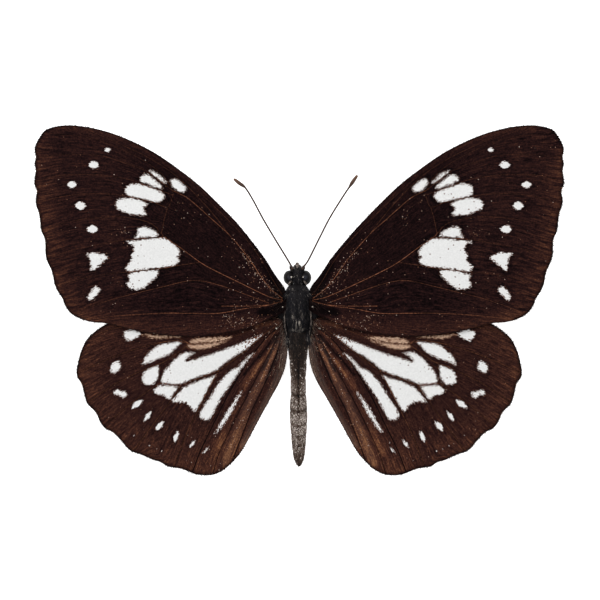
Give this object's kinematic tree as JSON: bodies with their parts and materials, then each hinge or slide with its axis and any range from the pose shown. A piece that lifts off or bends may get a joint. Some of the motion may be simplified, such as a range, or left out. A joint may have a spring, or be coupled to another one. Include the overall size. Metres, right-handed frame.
{
  "type": "spread butterfly specimen",
  "caption": "Dried brush-footed butterfly with its wings spread flat: dark brown wings with white bands and dots, long clubbed antennae, slender grey abdomen.",
  "frame": {"origin": "on the surface the specimen rests on, under the middle of its spread wings", "axes": "+X to the specimen's right along the wingspan, +Y towards the head, +Z towards the upper side of the wings"},
  "size_m": [0.088, 0.0584, 0.007],
  "materials": {
    "forewing_scales": "velvety brown-black wing scales with white patches and dots",
    "hindwing_scales": "velvety brown wing scales with white streaks and spots, paler along the inner edge",
    "body_fur": "short dark fur with a few grey hairs",
    "abdomen_scales": "close grey-brown scales, paler towards the tip",
    "antenna_horn": "dark horn with a brown club",
    "leg_horn": "dark scaled horn",
    "eye_lens": "glossy dark compound eye",
    "tongue": "smooth brown horn"
  },
  "bodies": {
    "root": {"thorax": "body_fur", "head": "body_fur", "abdomen": "abdomen_scales", "proboscis": "tongue", "forewing_left": "forewing_scales", "forewing_right": "forewing_scales", "hindwing_left": "hindwing_scales", "hindwing_right": "hindwing_scales", "eye_left": "eye_lens", "eye_right": "eye_lens", "antenna_left": "antenna_horn", "antenna_right": "antenna_horn", "palp_left": "body_fur", "palp_right": "body_fur", "foreleg_left": "body_fur", "foreleg_right": "body_fur", "midleg_left": "leg_horn", "midleg_right": "leg_horn", "hindleg_left": "leg_horn", "hindleg_right": "leg_horn"}
  },
  "joints": []
}
